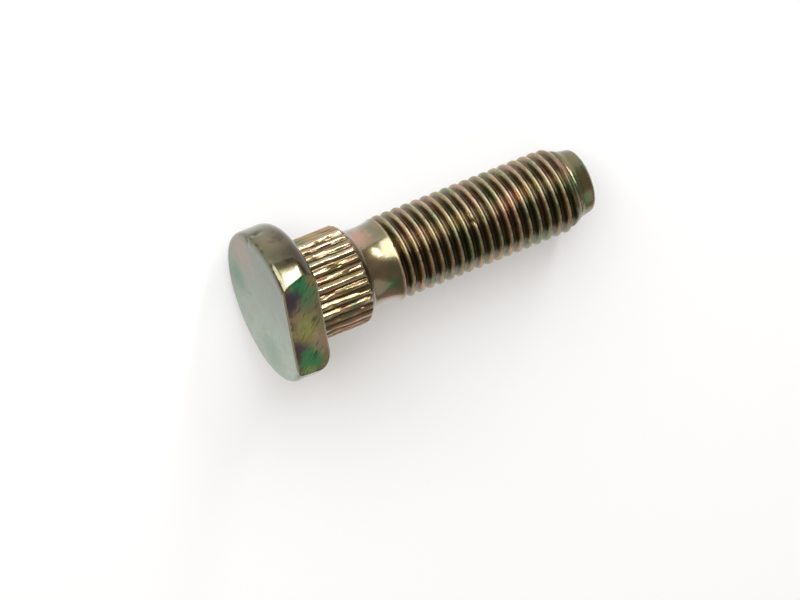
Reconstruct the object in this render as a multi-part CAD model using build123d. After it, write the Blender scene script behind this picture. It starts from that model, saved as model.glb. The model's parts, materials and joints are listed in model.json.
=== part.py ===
from build123d import *
import os
from math import asin, atan2, cos, hypot, pi, radians, sin, tan

# A press-in wheel stud, forged and rolled as one piece: a round head with a flat, a serrated neck that
# is pressed into the hub flange, a plain waisted neck, the threaded shank for the wheel nut
# and a plain pilot at the tip. The shank is drawn at the major diameter of its thread.
# It is drawn upright on its own axis, head down, and then laid on its side as it comes to
# rest. All sizes are in millimetres.

# Shank, the size that everything else was scaled from: an M12 x 1.5 thread, as rolled
thread_diameter = 11.85
thread_length = 26.4
thread_start_step = 0.125
thread_start_ramp = 0.3

# Head, a rounded disc with one flat cut through it, which leans in towards the neck
head_diameter = 21.4
head_thickness = 5.6
head_front_radius = 0.85
head_rear_radius = 2.1
head_flat_seat = 0.2
head_flat_lean = 11.5

# Serrated neck with its lead-in cone
serration_diameter = 14.1
serration_length = 7.2
serration_count = 34
serration_land_share = 0.38
serration_angle = 84.0
lead_length = 1.15
lead_drop = 0.175

# Waisted neck between the serrations and the thread
neck_length = 4.15
neck_relief = 0.4
neck_waist_share = 0.45

# Tapered end of the thread and the pilot
taper_length = 2.3
pilot_step = 1.145
pilot_length = 2.0
pilot_draft = 0.23
pilot_end_round = 0.8

# Where the seam of the turned shank lies: half a facet of its mesh aside, so that the mesh lies on a facet
shank_seam_turn = 2.5

# Radii
thread_radius = thread_diameter / 2
head_radius = head_diameter / 2
serration_radius = serration_diameter / 2
lead_end_radius = thread_radius - lead_drop
neck_radius = thread_radius - neck_relief
shoulder_radius = thread_radius - thread_start_step
pilot_radius = thread_radius - pilot_step
tip_radius = pilot_radius - pilot_draft

# Distances of the flat from the axis, at the seat and at the outer face
flat_at_seat = serration_radius + head_flat_seat
flat_at_face = flat_at_seat + head_thickness * tan(radians(head_flat_lean))

# Places along the axis, measured from the outer face of the head
serration_end = head_thickness + serration_length
lead_end = serration_end + lead_length
thread_start = lead_end + neck_length
taper_start = thread_start + thread_length
pilot_start = taper_start + taper_length
tip = pilot_start + pilot_length

# Head: a disc with both its edges rounded, and the flat cut through it
disc_outline = Polyline((0, 0), (head_radius, 0), (head_radius, head_thickness), (0, head_thickness), close=True)
disc = revolve(Plane.XZ.location * make_face(disc_outline), Axis.Z)
rims = disc.edges().filter_by(GeomType.CIRCLE).sort_by(Axis.Z)
head = fillet(rims[0], head_front_radius)
head = fillet(head.edges().filter_by(GeomType.CIRCLE).sort_by(Axis.Z)[-1], head_rear_radius)
flat_waste = Polyline(
    (flat_at_face, 0),
    (flat_at_seat, head_thickness),
    (head_diameter, head_thickness),
    (head_diameter, 0),
    close=True,
)
head -= extrude(Plane.XZ.location * make_face(flat_waste), head_diameter, both=True)

# Shank: one turned outline, as radius and height, from inside the head to the tip
root = head_thickness / 2
waist = (neck_radius, lead_end + neck_waist_share * neck_length)
tip_side = (tip_radius, tip - pilot_end_round)
tip_bend = (tip_radius - pilot_end_round * (1 - sin(pi / 4)), tip - pilot_end_round * (1 - sin(pi / 4)))
tip_face = (tip_radius - pilot_end_round, tip)
outline = [
    Polyline(
        (0, root),
        (serration_radius, root),
        (serration_radius, serration_end),
        (lead_end_radius, lead_end),
    ),
    ThreePointArc((lead_end_radius, lead_end), waist, (shoulder_radius, thread_start)),
    Polyline(
        (shoulder_radius, thread_start),
        (thread_radius, thread_start + thread_start_ramp),
        (thread_radius, taper_start),
        (pilot_radius, pilot_start),
        tip_side,
    ),
    ThreePointArc(tip_side, tip_bend, tip_face),
    Polyline(tip_face, (0, tip), (0, root)),
]
shank = revolve(make_face([Plane.XZ.location * line for line in outline]), Axis.Z)
shank = Rot(0, 0, shank_seam_turn) * shank

# Serrations: straight V grooves round the neck, which run out through the lead-in cone
tooth_step = 2 * pi * serration_radius / serration_count
groove_half_width = tooth_step * (1 - serration_land_share) / 2
groove_slope = tan(radians(serration_angle / 2))
groove_depth = groove_half_width / groove_slope
groove_top = serration_radius + groove_depth
groove_outline = Polyline(
    (serration_radius - groove_depth, 0),
    (groove_top, -2 * groove_half_width),
    (groove_top, 2 * groove_half_width),
    close=True,
)
groove = extrude(Pos(0, 0, head_thickness) * make_face(groove_outline), serration_length + lead_length)
shank -= [Rot(0, 0, 360 * i / serration_count) * groove for i in range(serration_count)]

# The whole stud, one solid
stud = head + shank

# Lay it on its side, on the rear round of the head's rim and the end of the thread. The flat
# takes weight off its side of the head, so the stud rolls until the flat faces up.
reach = taper_start - (head_thickness - head_rear_radius)
drop = head_radius - head_rear_radius - thread_radius
rest_tilt = atan2(drop, reach) + asin(head_rear_radius / hypot(reach, drop))
towards_tip = Vector(-cos(rest_tilt), 0, -sin(rest_tilt))
flat_faces = Vector(-sin(rest_tilt), 0, cos(rest_tilt))
stud = Plane(origin=(0, 0, 0), x_dir=flat_faces, z_dir=towards_tip).location * stud

# Origin under the middle of its box, on the surface it lies on
box = stud.bounding_box()
stud = Pos(-box.center().X, -box.center().Y, -box.min.Z) * stud
stud.label = "wheel_stud"

os.makedirs("parts", exist_ok=True)
export_step(stud, "parts/wheel_stud.step")
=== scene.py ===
"""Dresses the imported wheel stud: rolled thread, worn serrations, and a yellow passivated steel finish."""
import json
import math
import random

import bpy
import numpy as np
from mathutils import Matrix, Vector


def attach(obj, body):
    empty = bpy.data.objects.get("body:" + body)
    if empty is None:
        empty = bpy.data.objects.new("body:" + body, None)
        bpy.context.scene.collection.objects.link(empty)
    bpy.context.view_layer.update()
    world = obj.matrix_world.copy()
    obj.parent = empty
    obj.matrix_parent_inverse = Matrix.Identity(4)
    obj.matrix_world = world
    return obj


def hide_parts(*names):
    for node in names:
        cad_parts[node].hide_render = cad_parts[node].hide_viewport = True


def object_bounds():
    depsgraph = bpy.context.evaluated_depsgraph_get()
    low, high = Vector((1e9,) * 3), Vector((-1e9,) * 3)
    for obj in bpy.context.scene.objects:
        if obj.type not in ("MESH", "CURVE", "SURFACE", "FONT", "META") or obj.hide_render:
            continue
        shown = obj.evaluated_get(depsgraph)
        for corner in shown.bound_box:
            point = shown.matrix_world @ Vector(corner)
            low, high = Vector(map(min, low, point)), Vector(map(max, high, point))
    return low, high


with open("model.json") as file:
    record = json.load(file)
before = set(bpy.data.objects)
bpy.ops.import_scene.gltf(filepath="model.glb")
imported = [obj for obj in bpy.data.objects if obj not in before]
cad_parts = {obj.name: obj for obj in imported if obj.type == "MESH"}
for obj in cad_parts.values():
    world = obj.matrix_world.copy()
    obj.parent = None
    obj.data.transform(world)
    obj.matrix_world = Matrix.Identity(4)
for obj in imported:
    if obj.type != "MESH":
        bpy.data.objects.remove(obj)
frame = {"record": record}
CAD_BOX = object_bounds()

bl_info = {
    "name": "Wheel Stud",
    "version": (1, 0, 0),
    "blender": (4, 5, 0),
    "location": "View3D > Sidebar > Wheel Stud",
    "description": "Builds a press-in wheel stud with its thread, serrations and finish",
    "category": "Mesh",
}

MM = 0.001
MOUNTS = {mount["name"]: mount for mount in frame["record"]["mounts"]}
NECK = MOUNTS["serrated_neck"]
SHANK = MOUNTS["threaded_shank"]
SEAT = MOUNTS["under_head_seat"]


def length(name, description, default_mm):
    """One size that a user may change, in metres, with its default in millimetres."""
    return bpy.props.FloatProperty(
        name=name, description=description, default=default_mm * MM,
        min=0.0, precision=5, unit="LENGTH", subtype="DISTANCE")


def colour(name, description, default):
    """One colour that a user may change."""
    return bpy.props.FloatVectorProperty(
        name=name, description=description, default=default,
        size=3, min=0.0, max=1.0, subtype="COLOR")


def share(name, description, default):
    """One plain number, nothing or more."""
    return bpy.props.FloatProperty(name=name, description=description, default=default, min=0.0)


def power(name, description, default):
    """The power of one lamp."""
    return bpy.props.FloatProperty(
        name=name, description=description, default=default, min=0.0, unit="POWER")


class StudSizes(bpy.types.PropertyGroup):
    """The stud's sizes, as its source gives them."""

    head_diameter: length("Head diameter", "Across the round of the head", 21.4)
    head_thickness: length("Head thickness", "From the outer face to the seat", 5.6)
    head_front_radius: length("Front round", "Edge round of the head's outer face", 0.85)
    head_rear_radius: length("Rear round", "Edge round on the seat side", 2.1)
    flat_at_seat: length("Flat at the seat", "From the axis to the flat, on the seat side", 7.25)
    flat_lean: bpy.props.FloatProperty(
        name="Flat lean", description="How far the flat leans in towards the neck",
        default=math.radians(11.5), subtype="ANGLE")
    flat_break: length("Flat edge break", "Broken edge round the flat", 0.16)
    serration_diameter: length("Serration diameter", "Across the lands", 2 * NECK["dims"]["r_mm"])
    serration_length: length("Serration length", "Along the neck", NECK["dims"]["length_mm"])
    serration_depth: length("Serration depth", "Depth of the grooves", 0.449)
    serration_count: bpy.props.IntProperty(
        name="Serrations", description="Number of grooves round the neck", default=34, min=8)
    lead_length: length("Lead length", "Cone after the serrations", 1.15)
    lead_radius: length("Lead radius", "Where the cone meets the neck", 5.75)
    waist_radius: length("Waist radius", "Thinnest place of the neck", 5.525)
    neck_length: length("Neck length", "From the lead cone to the thread", 4.15)
    shoulder_radius: length("Shoulder radius", "Where the neck meets the thread", 5.8)
    shoulder_ramp: length("Shoulder ramp", "Rise onto the thread", 0.3)
    thread_diameter: length("Thread diameter", "Over the crests", 2 * SHANK["dims"]["r_mm"])
    thread_length: length("Thread length", "From the neck to the tapered end", 26.4)
    thread_pitch: length("Thread pitch", "From crest to crest", 1.5)
    thread_depth: length("Thread depth", "From crest to root", 0.92)
    thread_phase: length("Thread phase", "Place of the crest under the flat", 0.371)
    taper_length: length("Taper length", "End of the thread", 2.3)
    pilot_radius: length("Pilot radius", "Where the taper meets the pilot", 4.78)
    pilot_length: length("Pilot length", "Plain end", 2.0)
    pilot_end_radius: length("Pilot end radius", "At the tip, before its round", 4.55)
    pilot_round: length("Pilot round", "Edge round of the tip", 0.8)


class StudColours(bpy.types.PropertyGroup):
    """The finish: steel with a worn, yellow iridescent passivation."""

    olive: colour("Olive", "Main tone of the passivation", (0.27, 0.22, 0.125))
    gold: colour("Gold", "Thicker film", (0.40, 0.29, 0.14))
    pink: colour("Pink", "Iridescent pink film", (0.52, 0.29, 0.22))
    green: colour("Green", "Iridescent green film", (0.035, 0.21, 0.085))
    violet: colour("Violet", "Thin dark film", (0.055, 0.038, 0.062))
    pale: colour("Pale face", "Outer face of the head", (0.235, 0.265, 0.232))
    # This tone is painted light: the lighter side of the outer face.
    frost: colour("Frost", "Lighter side of the outer face", (0.43, 0.51, 0.43))
    # This tone is bare steel where the film is worn off, and also a painted highlight on the thread crests
    # and the serration lands.
    steel: colour("Bare steel", "Where the film is worn off", (0.62, 0.59, 0.46))
    moss: colour("Moss", "Dark green-grey film on the head", (0.105, 0.108, 0.062))
    lime: colour("Lime", "Yellow-green film on the flat", (0.30, 0.32, 0.10))
    # This tone is real dirt, specks and scratches, and also painted shade in the thread roots, the serration
    # grooves, the flat's outer end and the dark band beside the rim's highlight.
    grime: colour("Grime", "In the roots and grooves", (0.05, 0.036, 0.022))


class StudStage(bpy.types.PropertyGroup):
    """Floor, light and camera."""

    floor_colour: colour("Floor", "Pale floor", (0.93, 0.95, 0.97))
    floor_glow: share("Floor glow", "How much of the floor's white is its own", 0.25)
    room_colour: colour("Room", "Tint of the room's even light", (1.0, 0.86, 0.72))
    room_level: share("Room level", "Even light of the room", 0.31)
    key_power: power("Key power", "Soft lamp that throws the shadow", 13.0)
    fill_power: power("Fill power", "Soft lamp that the flat reflects", 0.6)
    spark_power: power("Spark power", "Strip lamp for the bright spots", 2.8)
    lens: bpy.props.FloatProperty(
        name="Lens", description="Focal length in millimetres on a 36 mm sensor", default=225.0, min=1.0)


# Sizes and places

THREAD_TURNS = 20


def sizes_mm():
    """The sizes in millimetres by name, and the places along the axis that follow from them."""
    group = bpy.context.scene.stud_sizes
    plain = ("serration_count", "flat_lean")
    size = {
        name: getattr(group, name) if name in plain else getattr(group, name) / MM
        for name in StudSizes.__annotations__
    }
    size["teeth_end"] = size["head_thickness"] + size["serration_length"]
    size["lead_end"] = size["teeth_end"] + size["lead_length"]
    size["thread_start"] = size["lead_end"] + size["neck_length"]
    size["taper_start"] = size["thread_start"] + size["thread_length"]
    size["pilot_start"] = size["taper_start"] + size["taper_length"]
    size["tip"] = size["pilot_start"] + size["pilot_length"]
    size["helix_start"] = size["pilot_start"] - THREAD_TURNS * size["thread_pitch"]
    return size


def stud_matrix(size):
    """Places a stud whose axis is local Z, whose flat faces local X and whose outer face is at zero."""
    axis = Vector(NECK["axis"]).normalized()
    middle = size["head_thickness"] + size["serration_length"] / 2
    origin = Vector(NECK["pos_m"]) - axis * middle * MM
    seat_centre = origin + axis * size["head_thickness"] * MM
    flat_side = (seat_centre - Vector(SEAT["pos_m"])).normalized()
    third = axis.cross(flat_side)
    matrix = Matrix((flat_side, third, axis)).transposed().to_4x4()
    matrix.translation = origin
    return matrix


# Meshes from rings

FLAT_COLUMNS = 96
FACE_RINGS = (0.06, 0.14, 0.25, 0.37, 0.5, 0.62, 0.74, 0.84, 0.92, 0.97, 1.0)
FRONT_ROWS = 8
RIM_ROWS = 7
REAR_ROWS = 10
SEAT_RINGS = (0.35, 0.7, 1.0)
TEETH_ROWS = 27
RUN_OUT_MM = 0.5
RUN_OUT_ROWS = 12
NECK_ROWS = 13
EVENING_ROWS = 5
WAIST_SHARE = 0.45
PILOT_ROWS = 5
TIP_ROWS = 7
TIP_RINGS = (0.8, 0.55, 0.3, 0.12)
QUARTER = math.pi / 2


class Skin:
    """Collects points in millimetres and faces, ring by ring."""

    def __init__(self):
        self.points = []
        self.faces = []

    def add(self, coords):
        """Adds points and gives their numbers."""
        first = len(self.points)
        self.points.extend(map(tuple, coords))
        return list(range(first, len(self.points)))

    def bridge(self, low, high):
        """Joins two closed rings of as many points."""
        for i in range(len(low)):
            j = (i + 1) % len(low)
            self.faces.append((low[i], low[j], high[j], high[i]))

    def halve(self, fine, coarse):
        """Joins a closed ring to one of half as many points."""
        for i in range(len(coarse)):
            j = (i + 1) % len(coarse)
            a, b, c = fine[2 * i], fine[2 * i + 1], fine[(2 * i + 2) % len(fine)]
            self.faces.append((coarse[i], a, b))
            self.faces.append((coarse[i], b, coarse[j]))
            self.faces.append((coarse[j], b, c))

    def patch(self, corners):
        """Adds one face, leaving out points that fell together."""
        kept = [corner for i, corner in enumerate(corners) if corner != corners[i - 1]]
        if len(kept) > 2:
            self.faces.append(tuple(kept))

    def strip(self, left, right):
        """Joins two columns of as many points."""
        for row in range(len(left) - 1):
            self.patch((left[row], right[row], right[row + 1], left[row + 1]))

    def fan(self, ring, centre, outwards):
        """Closes a ring with triangles to one point."""
        for i in range(len(ring)):
            j = (i + 1) % len(ring)
            self.faces.append((centre, ring[i], ring[j]) if outwards else (centre, ring[j], ring[i]))


def polar(radius, angle, along):
    """Points from radii, angles and places along the axis."""
    radius, angle, along = np.broadcast_arrays(radius, angle, along)
    return np.column_stack((radius * np.cos(angle), radius * np.sin(angle), along))


def smooth_step(value):
    """Eases from nothing to one."""
    value = np.clip(value, 0.0, 1.0)
    return value * value * (3 - 2 * value)


def steps_after(low, high, count):
    """Even steps from low to high, without low itself."""
    return np.linspace(low, high, count + 1)[1:]


def head_ring(size, radius, along, count):
    """One ring of the head: the leaning flat between two corners that keep their columns, then the round."""
    thick, edge = size["head_thickness"], size["flat_break"]
    flat = size["flat_at_seat"] + (thick - along) * math.tan(size["flat_lean"])
    inset = min(along, thick - along, edge)
    flat -= edge - math.sqrt(edge ** 2 - (edge - inset) ** 2)
    half = math.sqrt(radius ** 2 - flat ** 2)
    corner = math.acos(flat / radius)
    margin = edge / 2 / radius
    on_flat = FLAT_COLUMNS // 2
    side = (half - edge / 2) * np.arange(on_flat) / (on_flat - 1)
    turn = np.linspace(corner + margin, 2 * math.pi - corner - margin, count - 2 * on_flat + 1)
    flat_side = np.column_stack((np.full(on_flat, flat), side))
    round_side = np.column_stack((radius * np.cos(turn), radius * np.sin(turn)))
    far_side = flat_side[:0:-1] * (1, -1)
    return np.vstack((flat_side, round_side, far_side))


class Serrations:
    """Lands and grooves of the neck, with the unevenness of rolled and handled teeth."""

    STEPS = (0.0, 0.07, 0.18, 0.29, 0.345, 0.42, 0.5, 0.58, 0.655, 0.71, 0.82, 0.93)
    DEPTHS = (1.0, 0.80, 0.42, 0.09, 0.015, 0.0, 0.0, 0.0, 0.015, 0.09, 0.42, 0.80)
    JITTER = 0.20
    GROOVE_SHARES = (0.55, 1.0)
    WORN_MM = (0.0, 0.13)
    SWAYS = (0, 6.28)
    WAVE_MM = 0.02
    WAVE_RATE = 1.7
    TEARS = 240
    TEAR_START_MM = 0.2
    TEAR_COLUMNS = (0.7, 2.4)
    TEAR_REACH_MM = (0.3, 2.0)
    TEAR_DEPTH_MM = (0.04, 0.16)

    def __init__(self, size, draw):
        self.size = size
        count = size["serration_count"]
        pitch = 2 * math.pi / count
        self.columns = count * len(self.STEPS)
        starts = [pitch * (k + draw.uniform(-self.JITTER, self.JITTER)) for k in range(count)]
        ends = starts[1:] + [starts[0] + 2 * math.pi]
        self.angle = np.array([
            low + step * (high - low) for low, high in zip(starts, ends) for step in self.STEPS])
        self.depth = np.tile(self.DEPTHS, count)
        self.tooth = np.repeat(np.arange(count), len(self.STEPS))
        self.groove = np.array([draw.uniform(*self.GROOVE_SHARES) for _ in range(count)])
        self.worn = np.array([draw.uniform(*self.WORN_MM) for _ in range(count)])
        self.sway = np.array([draw.uniform(*self.SWAYS) for _ in range(count)])
        self.tears = [
            (draw.randrange(self.columns),
             size["head_thickness"] + draw.uniform(self.TEAR_START_MM, size["serration_length"]),
             draw.uniform(*self.TEAR_COLUMNS),
             draw.uniform(*self.TEAR_REACH_MM),
             draw.uniform(*self.TEAR_DEPTH_MM))
            for _ in range(self.TEARS)]

    def radius(self, along):
        """Radii of one ring of the serrations."""
        size, steps = self.size, len(self.STEPS)
        top = size["serration_diameter"] / 2
        number = np.arange(self.columns)
        first_half = number % steps < steps / 2
        deep = np.where(first_half, np.roll(self.groove, 1)[self.tooth], self.groove[self.tooth])
        wave = np.abs(self.WAVE_MM * np.sin(along * self.WAVE_RATE + self.sway[self.tooth]))
        radius = top - self.worn[self.tooth] - wave - size["serration_depth"] * deep * self.depth
        for column, place, wide, reach, depth in self.tears:
            gap = (number - column + self.columns / 2) % self.columns - self.columns / 2
            fall = math.exp(-((along - place) / reach) ** 2)
            radius = radius - depth * np.exp(-(gap / wide) ** 2) * fall
        radius = np.maximum(radius, top - size["serration_depth"])
        slope = (top - size["lead_radius"]) / size["lead_length"]
        return np.minimum(radius, top - slope * max(0.0, along - size["teeth_end"]))


def blank_radius(size, along):
    """Radius of the neck, shank and taper before the thread is rolled."""
    lead_end, start = size["lead_end"], size["thread_start"]
    full = size["thread_diameter"] / 2
    places = (lead_end, lead_end + WAIST_SHARE * size["neck_length"], start)
    heights = (size["lead_radius"], size["waist_radius"], size["shoulder_radius"])
    bow = np.polyval(np.polyfit(places, heights, 2), along)
    ramp = np.interp(
        along, (start, start + size["shoulder_ramp"], size["taper_start"], size["pilot_start"]),
        (size["shoulder_radius"], full, full, size["pilot_radius"]))
    return np.where(along < start, bow, ramp)


class Thread:
    """The rolled thread: its section over one pitch, from crest to crest."""

    DRAWN_PITCH_MM = 1.5
    STEPS = (0.0, 0.03, 0.075, 0.13, 0.36, 0.60, 0.75, 0.90, 1.14, 1.37, 1.425, 1.47)
    DROPS = (0.06, 0.015, 0.0, 0.045, 0.47, 0.93, 1.0, 0.93, 0.47, 0.045, 0.0, 0.015)
    FADE_START_MM = 0.1
    FADE_TURNS = 0.7

    def __init__(self, size):
        self.size = size
        self.pitch = size["thread_pitch"]
        self.steps = np.array(self.STEPS) * self.pitch / self.DRAWN_PITCH_MM
        drops = np.array(self.DROPS) * size["thread_depth"]
        self.section = (np.append(self.steps, self.pitch), np.append(drops, drops[0]))

    def radius(self, angle, along):
        """Radius of the finished surface at an unwound angle and a place along the axis."""
        size = self.size
        place = along - size["thread_phase"] - self.pitch * angle / (2 * math.pi)
        drop = np.interp(place % self.pitch, *self.section)
        fade = smooth_step(
            (along - size["thread_start"] - self.FADE_START_MM) / (self.FADE_TURNS * self.pitch))
        return np.minimum(size["thread_diameter"] / 2 - drop * fade, blank_radius(size, along))


def shape_head(skin, size, teeth):
    """The flatted head, from the middle of its outer face to the foot of the serrations."""
    front, rear = size["head_front_radius"], size["head_rear_radius"]
    thick, full = size["head_thickness"], size["head_diameter"] / 2

    def ring(radius, along):
        return head_ring(size, radius, along, teeth.columns)

    face = ring(full - front, 0.0)
    rows = [(face * part, 0.0) for part in FACE_RINGS]
    for turn in steps_after(0, QUARTER, FRONT_ROWS):
        along = front * (1 - math.cos(turn))
        rows.append((ring(full - front * (1 - math.sin(turn)), along), along))
    for along in steps_after(front, thick - rear, RIM_ROWS):
        rows.append((ring(full, along), along))
    for turn in steps_after(0, QUARTER, REAR_ROWS):
        along = thick - rear + rear * math.sin(turn)
        rows.append((ring(full - rear * (1 - math.cos(turn)), along), along))
    seat = rows[-1][0]
    foot = polar(teeth.radius(thick), teeth.angle, thick)[:, :2]
    rows += [(seat + (foot - seat) * part, thick) for part in SEAT_RINGS]
    rings = [skin.add(np.column_stack((points, np.full(len(points), along)))) for points, along in rows]
    skin.fan(rings[0], skin.add([(0.0, 0.0, 0.0)])[0], False)
    for low, high in zip(rings, rings[1:]):
        skin.bridge(low, high)
    return rings[-1]


def shape_neck(skin, size, teeth, foot, columns):
    """The serrations, their lead cone and the waisted neck, up to where the helical grid begins."""
    run_out = size["teeth_end"] - RUN_OUT_MM
    last = foot
    for along in (*steps_after(size["head_thickness"], run_out, TEETH_ROWS),
                  *steps_after(run_out, size["lead_end"], RUN_OUT_ROWS)):
        ring = skin.add(polar(teeth.radius(along), teeth.angle, along))
        skin.bridge(last, ring)
        last = ring
    even = 2 * math.pi * np.arange(columns) / columns
    uneven = teeth.angle[::2]
    for row, along in enumerate(steps_after(size["lead_end"], size["helix_start"], NECK_ROWS), 1):
        ease = min(1.0, row / EVENING_ROWS)
        ring = skin.add(polar(blank_radius(size, along), uneven + (even - uneven) * ease, along))
        if row == 1:
            skin.halve(last, ring)
        else:
            skin.bridge(last, ring)
        last = ring
    return last


def shape_thread(skin, size, thread, first_ring, columns):
    """A grid that winds along the thread, with a wedge of one turn at each end to meet even rings."""
    pitch, rows = thread.pitch, len(thread.steps)
    base = size["helix_start"]
    shift = round(columns * (base - size["thread_phase"]) / pitch)
    total = columns * THREAD_TURNS
    wind = 2 * math.pi * (np.arange(total + 1) + shift) / columns
    helix_place = base + pitch * np.arange(total + 1) / columns

    def column(number, part, from_place):
        along = from_place + thread.steps[1:] * part
        return skin.add(polar(thread.radius(wind[number], along), wind[number], along))

    def ring_point(number):
        return first_ring[(number + shift) % columns]

    helix = {0: ring_point(0)}
    for number in range(1, total):
        helix[number] = skin.add(polar(
            thread.radius(wind[number], helix_place[number]), wind[number], helix_place[number]))[0]
    between = {}
    for number in range(total - columns + 1):
        between[number] = column(number, 1.0, helix_place[number])
    end_ring = skin.add(polar(
        thread.radius(wind[:columns], helix_place[total]), wind[:columns], helix_place[total]))
    helix[total] = end_ring[0]

    def whole(number):
        return [helix[number]] + between[number] + [helix[number + columns]]

    def low_wedge(number):
        if number == 0:
            return [helix[0]] * (rows + 1)
        if number == columns:
            return whole(0)
        return [ring_point(number)] + column(number, number / columns, base) + [helix[number]]

    def high_wedge(number):
        here = total - columns + number
        if number == 0:
            return whole(here)
        if number == columns:
            return [end_ring[0]] * (rows + 1)
        return [helix[here]] + column(here, 1 - number / columns, helix_place[here]) + [end_ring[number]]

    for number in range(total - columns):
        skin.strip(whole(number), whole(number + 1))
    for wedge in (low_wedge, high_wedge):
        left = wedge(0)
        for number in range(1, columns + 1):
            right = wedge(number)
            skin.strip(left, right)
            left = right
    return end_ring, wind[:columns]


def shape_pilot(skin, size, ring, angle):
    """The plain end and its rounded tip."""
    start, tip = size["pilot_start"], size["tip"]
    end, bend = size["pilot_end_radius"], size["pilot_round"]
    wall = tip - bend
    rows = list(zip(
        steps_after(size["pilot_radius"], end, PILOT_ROWS), steps_after(start, wall, PILOT_ROWS)))
    for turn in steps_after(0, QUARTER, TIP_ROWS):
        rows.append((end - bend * (1 - math.cos(turn)), wall + bend * math.sin(turn)))
    rows += [((end - bend) * part, tip) for part in TIP_RINGS]
    last = ring
    for radius, along in rows:
        made = skin.add(polar(radius, angle, along))
        skin.bridge(last, made)
        last = made
    skin.fan(last, skin.add([(0.0, 0.0, tip)])[0], True)


# Wear: place in local millimetres, reach along each axis, depth

DENTS = (
    ((-1.2, -10.6, 1.5), (0.5, 0.5, 0.7), 0.26),
    ((-1.3, -9.95, 0.1), (0.7, 0.5, 0.4), 0.24),
    ((-3.7, -0.65, 0.0), (0.7, 0.35, 0.4), 0.07),
    ((0.2, 3.8, 0.0), (0.25, 0.8, 0.4), 0.06),
    ((4.85, -3.39, 30.08), (0.45, 0.45, 0.28), 0.22),
    ((7.6, -1.0, 4.2), (0.4, 0.2, 0.9), 0.05),
    ((7.9, -5.6, 2.6), (0.4, 0.3, 0.6), 0.05),
)
DENT_FALL = 1.4
FACE_DENT_MM = 0.3


def wear(points):
    """Presses small dents into the skin, inwards from the outer face or towards the axis."""
    for place, reach, depth in DENTS:
        offset = (points - np.array(place)) / np.array(reach)
        weight = np.exp(-(offset ** 2).sum(1) * DENT_FALL)
        on_face = place[2] <= FACE_DENT_MM
        inward = np.array((0.0, 0.0, 1.0) if on_face else (-place[0], -place[1], 0.0))
        points = points + weight[:, None] * depth * inward / np.linalg.norm(inward)
    return points


# Finish

class Wire:
    """One socket of a material, with arithmetic that adds Math nodes."""

    def __init__(self, finish, socket):
        self.finish = finish
        self.socket = socket

    def reckon(self, operation, first, second):
        """Two values through one Math node."""
        return self.finish.node("ShaderNodeMath", {"operation": operation}, {0: first, 1: second})

    def __add__(self, other):
        return self.reckon("ADD", self, other)

    def __radd__(self, other):
        return self.reckon("ADD", other, self)

    def __sub__(self, other):
        return self.reckon("SUBTRACT", self, other)

    def __rsub__(self, other):
        return self.reckon("SUBTRACT", other, self)

    def __mul__(self, other):
        return self.reckon("MULTIPLY", self, other)

    def __rmul__(self, other):
        return self.reckon("MULTIPLY", other, self)

    def __truediv__(self, other):
        return self.reckon("DIVIDE", self, other)

    def __rtruediv__(self, other):
        return self.reckon("DIVIDE", other, self)

    def __pow__(self, other):
        return self.reckon("POWER", self, other)

    def __rpow__(self, other):
        return self.reckon("POWER", other, self)

    def ramp(self, low, high):
        """Nothing at low, one at high, eased between."""
        return self.finish.node(
            "ShaderNodeMapRange", {"interpolation_type": "SMOOTHSTEP"},
            {"Value": self, "From Min": low, "From Max": high})


class Finish:
    """A material and its nodes."""

    RAGGED = 1.6
    PATCH_EDGE = (0.25, 1.1)

    def __init__(self, name):
        self.material = bpy.data.materials.new(name)
        self.material.use_nodes = True
        self.tree = self.material.node_tree
        self.tree.nodes.clear()

    def node(self, kind, settings=None, values=None, out=0):
        """Adds a node, sets its settings first and then its sockets, and gives one output."""
        made = self.tree.nodes.new(kind)
        for name, value in (settings or {}).items():
            setattr(made, name, value)
        for name, value in (values or {}).items():
            socket = made.inputs[name]
            if isinstance(value, Wire):
                self.tree.links.new(value.socket, socket)
            else:
                socket.default_value = value
        return Wire(self, made.outputs[out]) if made.outputs else None

    def point(self, first, second, third):
        """Three values as one place."""
        return self.node("ShaderNodeCombineXYZ", values={0: first, 1: second, 2: third})

    def noise(self, place, scale, detail):
        """Even noise from nothing to one."""
        return self.node(
            "ShaderNodeTexNoise", {"noise_dimensions": "3D"},
            {"Vector": place, "Scale": scale, "Detail": detail})

    def mix(self, amount, first, second):
        """A colour between two colours."""
        first, second = (
            value if isinstance(value, Wire) else (*value, 1.0) for value in (first, second))
        return self.node(
            "ShaderNodeMix", {"data_type": "RGBA"}, {0: amount, 6: first, 7: second}, out=2)

    def near(self, place, point, reach, ragged):
        """One at a point in local millimetres, nothing beyond its reach, with a ragged edge."""
        gap = self.node("ShaderNodeVectorMath", {"operation": "DISTANCE"}, {0: place, 1: point}, out=1)
        return 1 - (gap / reach + (ragged - 0.5) * self.RAGGED).ramp(*self.PATCH_EDGE)


# Colour patches: zone, tone, place in local millimetres, reach, strength

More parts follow.
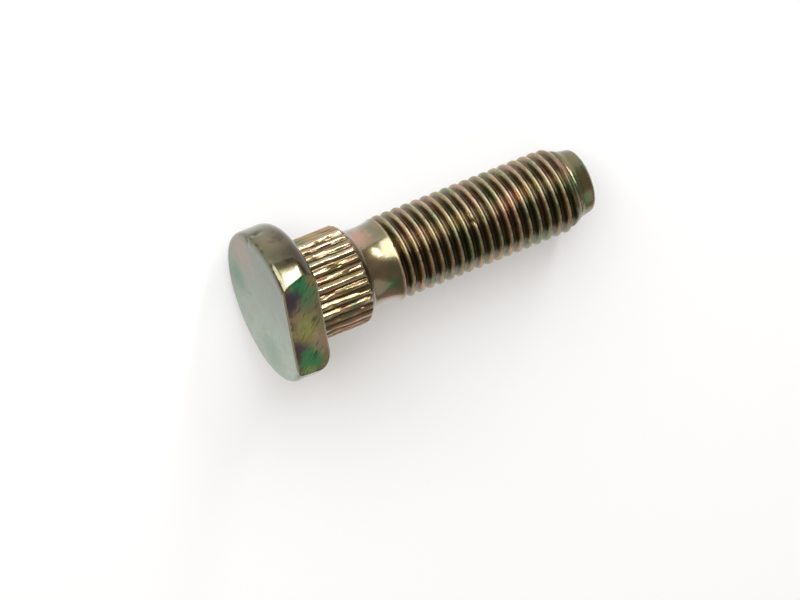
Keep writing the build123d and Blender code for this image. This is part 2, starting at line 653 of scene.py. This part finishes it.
PATCHES = (
    ("face", "pink", (-4.2, -7.2, 0.0), 4.6, 0.30),
    ("face", "green", (-7.0, -1.6, 0.0), 3.0, 0.42),
    ("face", "green", (0.4, 6.4, 0.0), 3.8, 0.32),
    ("face", "grime", (-3.7, -0.65, 0.0), 0.5, 0.18),
    ("face", "steel", (0.2, 3.8, 0.0), 0.6, 0.45),
    ("flat", "lime", (7.9, 0.6, 2.6), 3.0, 0.70),
    ("flat", "green", (7.6, -4.2, 3.6), 2.4, 0.60),
    ("flat", "green", (7.8, -6.5, 2.6), 2.4, 1.0),
    ("flat", "violet", (8.1, -4.6, 1.0), 2.3, 0.95),
    ("flat", "violet", (8.1, 3.0, 0.9), 2.3, 0.85),
    ("flat", "green", (7.9, 5.2, 2.6), 2.7, 0.95),
    ("flat", "lime", (8.0, 6.9, 1.8), 1.6, 0.45),
    ("flat", "pink", (7.2, 3.2, 5.3), 3.0, 0.40),
    # Painted shade: the dark band beside the rim's highlight, on the seat side.
    ("rim", "grime", (4.4, -9.2, 4.6), 4.2, 0.90),
    ("rim", "olive", (1.5, -10.3, 2.8), 3.0, 0.40),
    # Painted shade: more of the dark band beside the rim's highlight.
    ("rim", "grime", (0.8, -10.3, 5.0), 3.0, 0.75),
    ("rim", "grime", (-1.2, -10.6, 1.4), 0.55, 0.95),
    ("rim", "grime", (-1.3, -10.1, 0.1), 0.5, 0.9),
    ("shank", "pink", (0.9, -5.5, 14.6), 2.6, 0.80),
    ("shank", "green", (5.5, 0.3, 16.6), 1.7, 0.60),
    ("shank", "pink", (5.0, 3.0, 16.4), 2.2, 0.45),
    ("shank", "green", (4.6, -0.1, 47.1), 1.3, 0.45),
    ("shank", "gold", (6.4, -2.8, 9.6), 3.0, 0.60),
    ("shank", "pink", (5.2, 4.6, 9.6), 3.4, 0.65),
    ("shank", "grime", (4.85, -3.39, 30.08), 0.4, 0.6),
)


class PassivatedSteel(Finish):
    """Worn yellow passivation on steel: film colours in patches, painted shade in the roots and grooves,
    bright worn edges with a painted highlight on crests and lands.
    """

    BUMP_STRENGTH = 0.25
    BUMP_MM = 0.06
    COAT_ROUGHNESS = 0.05

    def __init__(self, size, tones, placing):
        super().__init__("passivated_steel_finish")
        self.size = size
        self.film = {name: tuple(getattr(tones, name)) for name in StudColours.__annotations__}
        self.thread_top = size["thread_diameter"] / 2
        self.teeth_top = size["serration_diameter"] / 2
        self.locate(placing)
        self.scatter()
        self.mark_zones()

    def locate(self, placing):
        """Where a point of the surface lies on the stud, in local millimetres."""
        whole = self.node("ShaderNodeTexCoord", out=3)
        from_head = self.node(
            "ShaderNodeVectorMath", {"operation": "SUBTRACT"}, {0: whole, 1: placing.translation})
        self.x, self.y, self.along = (
            self.node(
                "ShaderNodeVectorMath", {"operation": "DOT_PRODUCT"},
                {0: from_head, 1: placing.to_3x3().col[k] / MM}, out=1)
            for k in range(3))
        self.place = self.point(self.x, self.y, self.along)
        self.radius = (self.x * self.x + self.y * self.y) ** 0.5

    def scatter(self):
        """Noises over the stud: even ones from broad to fine, then ones drawn out along it or round it."""
        x, y, along = self.x, self.y, self.along
        self.broad = self.noise(self.place, scale=0.16, detail=2.0)
        self.cloud = self.noise(self.place, scale=0.42, detail=3.0)
        self.spot = self.noise(self.place, scale=1.3, detail=3.0)
        self.grain = self.noise(self.place, scale=7.0, detail=2.0)
        self.drawn = self.noise(self.point(x, y, along * 0.12), scale=4.0, detail=3.0)
        self.streak = self.noise(self.point(x, y, along * 0.22), scale=1.1, detail=2.0)
        self.ring_mark = self.noise(self.point(x * 0.25, y * 0.25, along * 0.7), scale=1.0, detail=2.0)
        self.scratch = self.noise(
            self.point((along + y) * 2.6, (along - y) * 0.35, 0.0), scale=1.0, detail=2.0)

    def mark_zones(self):
        """Masks that are one on a part of the stud and nothing elsewhere."""
        size, along = self.size, self.along
        thick, lead_end = size["head_thickness"], size["lead_end"]
        start, pilot = size["thread_start"], size["pilot_start"]
        self.on_head = along.ramp(thick + 0.05, thick - 0.05)
        self.on_face = along.ramp(0.32, 0.08)
        self.from_flat = self.x - (size["flat_at_seat"] + (thick - along) * math.tan(size["flat_lean"]))
        self.on_flat = self.from_flat.ramp(-0.16, -0.06) * self.on_head * (1 - self.on_face)
        self.on_rim = self.on_head * (1 - self.on_face) * (1 - self.on_flat)
        self.on_teeth = along.ramp(thick - 0.1, thick + 0.1) * along.ramp(lead_end, lead_end - 0.4)
        self.on_neck = along.ramp(lead_end - 0.3, lead_end) * along.ramp(start + 0.2, start)
        self.on_thread = along.ramp(start - 0.1, start + 0.3)
        self.on_pilot = along.ramp(pilot - 0.4, pilot)
        # The crest mask gets bare steel with a painted highlight in worn(), and more roughness.
        crest = self.radius.ramp(self.thread_top - 0.09, self.thread_top - 0.03) * self.on_thread
        self.crest = crest * (0.4 + 0.6 * self.spot.ramp(0.35, 0.65))

    def filmed(self):
        """The film: olive to gold with pink and green, a pale outer face with a painted lighter side, and
        moss on the plain parts.
        """
        film = self.film
        tone = self.mix(self.cloud.ramp(0.42, 0.68), film["olive"], film["gold"])
        tone = self.mix(self.broad.ramp(0.54, 0.68) * 0.6, tone, film["pink"])
        tone = self.mix(self.broad.ramp(0.44, 0.32) * 0.5, tone, film["green"])
        tone = self.mix(self.ring_mark.ramp(0.55, 0.66) * self.on_thread * 0.6, tone, film["pink"])
        tone = self.mix(self.ring_mark.ramp(0.45, 0.36) * self.on_thread * 0.45, tone, film["green"])
        tone = self.mix(self.streak.ramp(0.52, 0.64) * self.on_teeth * 0.65, tone, film["pink"])
        # Painted light: the outer face is lighter towards its +y side, mottled by noise.
        face = self.mix(self.y.ramp(-9.0, 9.0) * (0.3 + 0.9 * self.spot), film["pale"], film["frost"])
        face = self.mix(self.cloud.ramp(0.40, 0.75) * 0.30, face, film["olive"])
        tone = self.mix(self.on_face, tone, face)
        mossy = self.on_rim * (0.72 + 0.28 * self.cloud) + self.on_flat * 0.60
        tone = self.mix(mossy + self.on_neck * 0.55 + self.on_pilot * 0.6, tone, film["moss"])
        specks = self.along.ramp(0.02, 0.15) * self.along.ramp(0.75, 0.4) * self.on_rim
        return self.mix(specks * self.spot.ramp(0.56, 0.64) * 0.8, tone, film["grime"])

    def patched(self, tone):
        """The patches of film that keep to one place of one zone."""
        zones = {"face": self.on_face, "flat": self.on_flat, "rim": self.on_rim, "shank": 1 - self.on_head}
        ragged = self.cloud * 0.55 + self.spot * 0.45
        for zone, name, point, reach, strength in PATCHES:
            amount = self.near(self.place, point, reach, ragged) * zones[zone] * strength
            tone = self.mix(amount, tone, self.film[name])
        return tone

    def worn(self, tone):
        """Scratches on the flat and painted shade towards its outer end, painted shade in the roots and
        grooves, bare steel on crests, lands and edges with a painted highlight on crests and lands.
        """
        film, along, radius = self.film, self.along, self.radius
        thick, pilot = self.size["head_thickness"], self.size["pilot_start"]
        tone = self.mix(self.scratch.ramp(0.58, 0.66) * self.on_flat * 0.8, tone, film["grime"])
        # Painted shade: the flat darkens towards the outer face, in patches.
        flat_front_shade = along.ramp(1.5, 0.4) * self.on_flat * self.spot.ramp(0.40, 0.58)
        tone = self.mix(flat_front_shade * 0.55, tone, film["grime"])
        # Painted shade: the thread roots and the serration grooves are darkened.
        root = radius.ramp(self.thread_top - 0.12, self.thread_top - 0.60) * self.on_thread
        root = root * along.ramp(pilot, pilot - 1.6)
        groove = radius.ramp(self.teeth_top - 0.22, self.teeth_top - 0.40) * self.on_teeth
        tone = self.mix((root + groove) * (0.60 + 0.35 * self.spot), tone, film["grime"])
        land_wear_and_highlight = radius.ramp(self.teeth_top - 0.18, self.teeth_top - 0.05) * self.on_teeth
        land_wear_and_highlight = land_wear_and_highlight * self.drawn.ramp(0.42, 0.62)
        ends = along.ramp(0.40, 0.15) + along.ramp(thick - 0.35, thick - 0.12)
        edge = self.from_flat.ramp(-0.30, -0.12) * ends * self.on_head
        # Bare steel on worn crests, lands and flat edges; on the crests and lands it is also a painted
        # highlight.
        tone = self.mix(self.crest * 0.6 + land_wear_and_highlight * 0.6 + edge * 0.5, tone, film["steel"])
        return self.mix(self.grain.ramp(0.60, 0.78) * (1 - self.on_face * 0.9) * 0.30, tone, film["grime"])

    def roughness(self):
        """Rougher on the face, on the flat and on the worn crests."""
        uneven = 0.12 + 0.14 * self.spot + 0.08 * self.grain
        return uneven + 0.17 * self.on_face + 0.20 * self.crest + 0.03 * self.on_thread + 0.12 * self.on_flat

    def relief(self):
        """Drawn lines, grain and shallow pits, quiet on the face and the rim."""
        quiet = 1 - self.on_face * 0.92 - self.on_rim * 0.5
        lines = self.drawn * (0.3 + 1.9 * self.on_teeth)
        pits = self.spot * (0.5 + 0.5 * self.on_neck + 0.5 * self.on_thread)
        return self.node("ShaderNodeBump", values={
            "Strength": self.BUMP_STRENGTH,
            "Distance": self.BUMP_MM * MM,
            "Height": (lines + self.grain * 0.25 + pits) * quiet})

    def build(self):
        """Joins tone, gloss and relief, and gives the material."""
        shader = self.node("ShaderNodeBsdfPrincipled", values={
            "Base Color": self.worn(self.patched(self.filmed())),
            "Metallic": 1.0,
            "Roughness": self.roughness(),
            "Normal": self.relief(),
            "Coat Weight": 0.12 + self.on_rim * 0.45 + self.on_neck * 0.8,
            "Coat Roughness": self.COAT_ROUGHNESS})
        self.node("ShaderNodeOutputMaterial", values={"Surface": shader})
        return self.material


# The stud

TEETH_SEED = 34
SHARP_ANGLE = math.radians(38)


class STUD_OT_wheel_stud(bpy.types.Operator):
    """Build the wheel stud as one skin: head, serrations, neck, thread and pilot"""

    bl_idname = "stud.wheel_stud"
    bl_label = "Wheel Stud"

    def execute(self, context):
        size = sizes_mm()
        teeth = Serrations(size, random.Random(TEETH_SEED))
        columns = teeth.columns // 2
        skin = Skin()
        foot = shape_head(skin, size, teeth)
        ring = shape_neck(skin, size, teeth, foot, columns)
        ring, angle = shape_thread(skin, size, Thread(size), ring, columns)
        shape_pilot(skin, size, ring, angle)
        placing = stud_matrix(size)
        points = wear(np.array(skin.points)) * MM
        points = points @ np.array(placing.to_3x3()).T + np.array(placing.translation)
        mesh = bpy.data.meshes.new("wheel_stud_body")
        mesh.from_pydata(points.tolist(), [], skin.faces)
        mesh.update()
        mesh.shade_smooth()
        mesh.set_sharp_from_angle(angle=SHARP_ANGLE)
        mesh.materials.append(PassivatedSteel(size, context.scene.stud_colours, placing).build())
        stud = bpy.data.objects.new("wheel_stud_body", mesh)
        context.scene.collection.objects.link(stud)
        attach(stud, "root")
        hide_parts("wheel_stud")
        return {"FINISHED"}


# Stage

CAMERA_PLACE = Vector((154.200, -352.692, 560.725)) * MM
CAMERA_AHEAD = Vector((-0.221685, 0.532466, -0.816907))
CAMERA_UP = Vector((-0.308515, -0.833015, -0.459243))
CAMERA_NEAR = 0.01
SENSOR_MM = 36.0
FLOOR_REACH = 3.0
FLOOR_CORNERS = 64
LAMP_DISTANCE = 0.9

# Lamps: name, side of the stud, width, height
LAMPS = (
    ("key", Vector((0.26, -0.80, 0.54)), 0.88, 0.88),
    ("fill", Vector((-0.62, 0.55, 0.56)), 0.60, 0.60),
    ("spark", Vector((-0.33, -0.83, 0.46)), 0.07, 0.42),
)


def look(ahead, up):
    """A turn whose -Z looks ahead and whose Y is up."""
    ahead = ahead.normalized()
    right = ahead.cross(up).normalized()
    return Matrix((right, right.cross(ahead), -ahead)).transposed().to_4x4()


def floor_finish(tone, own_white):
    """Pale floor that is partly white by itself to the eye and in reflections, and keeps the shadow."""
    finish = Finish("pale_floor")
    rays = finish.node("ShaderNodeLightPath").socket.node.outputs
    camera, glossy, through = (
        Wire(finish, rays[name]) for name in ("Is Camera Ray", "Is Glossy Ray", "Is Transmission Ray"))
    seen = camera + glossy + through
    diffuse = finish.node("ShaderNodeBsdfDiffuse", values={"Color": (*tone, 1.0)})
    glow = finish.node("ShaderNodeEmission", values={"Strength": 1.0})
    shader = finish.node("ShaderNodeMixShader", values={0: seen * own_white, 1: diffuse, 2: glow})
    finish.node("ShaderNodeOutputMaterial", values={"Surface": shader})
    return finish.material


def lay_floor(scene, stage):
    """A round floor under the stud."""
    rim = [(FLOOR_REACH * math.cos(a), FLOOR_REACH * math.sin(a), 0.0)
           for a in np.linspace(0, 2 * math.pi, FLOOR_CORNERS, endpoint=False)]
    mesh = bpy.data.meshes.new("floor")
    mesh.from_pydata(rim, [], [tuple(range(len(rim)))])
    mesh.materials.append(floor_finish(tuple(stage.floor_colour), stage.floor_glow))
    floor = bpy.data.objects.new("floor", mesh)
    scene.collection.objects.link(floor)


def hang_lamps(scene, stage):
    """The soft lamps and the strip, all turned to the middle of the stud."""
    middle = (CAD_BOX[0] + CAD_BOX[1]) / 2
    for name, side, width, height in LAMPS:
        lamp = bpy.data.lights.new(name + "_lamp", "AREA")
        lamp.shape = "RECTANGLE"
        lamp.size = width
        lamp.size_y = height
        lamp.energy = getattr(stage, name + "_power")
        lit = bpy.data.objects.new(name + "_lamp", lamp)
        matrix = look(-side, Vector((0, 0, 1)))
        matrix.translation = middle + side.normalized() * LAMP_DISTANCE
        lit.matrix_world = matrix
        scene.collection.objects.link(lit)


def light_room(scene, stage):
    """The even light from all round."""
    world = bpy.data.worlds.new("room")
    world.use_nodes = True
    shade = world.node_tree.nodes["Background"]
    shade.inputs["Color"].default_value = (*stage.room_colour, 1.0)
    shade.inputs["Strength"].default_value = stage.room_level
    scene.world = world


def set_camera(scene, stage):
    """The camera, on the side that the photograph shows."""
    lens = bpy.data.cameras.new("camera")
    lens.sensor_width = SENSOR_MM
    lens.lens = stage.lens
    lens.clip_start = CAMERA_NEAR
    camera = bpy.data.objects.new("camera", lens)
    matrix = look(CAMERA_AHEAD, CAMERA_UP)
    matrix.translation = CAMERA_PLACE
    camera.matrix_world = matrix
    scene.collection.objects.link(camera)
    scene.camera = camera


class STUD_OT_stage(bpy.types.Operator):
    """Lay the floor and set the lamps, the room and the camera"""

    bl_idname = "stud.stage"
    bl_label = "Stage"

    def execute(self, context):
        scene = context.scene
        for step in (lay_floor, hang_lamps, light_room, set_camera):
            step(scene, scene.stud_stage)
        scene.view_settings.view_transform = "Standard"
        return {"FINISHED"}


class STUD_PT_panel(bpy.types.Panel):
    """Lists what builds the stud and what can be changed"""

    bl_idname = "STUD_PT_panel"
    bl_label = "Wheel Stud"
    bl_space_type = "VIEW_3D"
    bl_region_type = "UI"
    bl_category = "Wheel Stud"

    def draw(self, context):
        layout = self.layout
        scene = context.scene
        for operator in (STUD_OT_wheel_stud, STUD_OT_stage):
            layout.operator(operator.bl_idname)
        for group in (scene.stud_sizes, scene.stud_colours, scene.stud_stage):
            for name in type(group).__annotations__:
                layout.prop(group, name)


CLASSES = (StudSizes, StudColours, StudStage, STUD_OT_wheel_stud, STUD_OT_stage, STUD_PT_panel)


def register():
    for cls in CLASSES:
        bpy.utils.register_class(cls)
    bpy.types.Scene.stud_sizes = bpy.props.PointerProperty(type=StudSizes)
    bpy.types.Scene.stud_colours = bpy.props.PointerProperty(type=StudColours)
    bpy.types.Scene.stud_stage = bpy.props.PointerProperty(type=StudStage)


def unregister():
    del bpy.types.Scene.stud_stage
    del bpy.types.Scene.stud_colours
    del bpy.types.Scene.stud_sizes
    for cls in reversed(CLASSES):
        bpy.utils.unregister_class(cls)


def main():
    register()
    bpy.ops.stud.wheel_stud()
    bpy.ops.stud.stage()


if __name__ == "__main__":
    main()
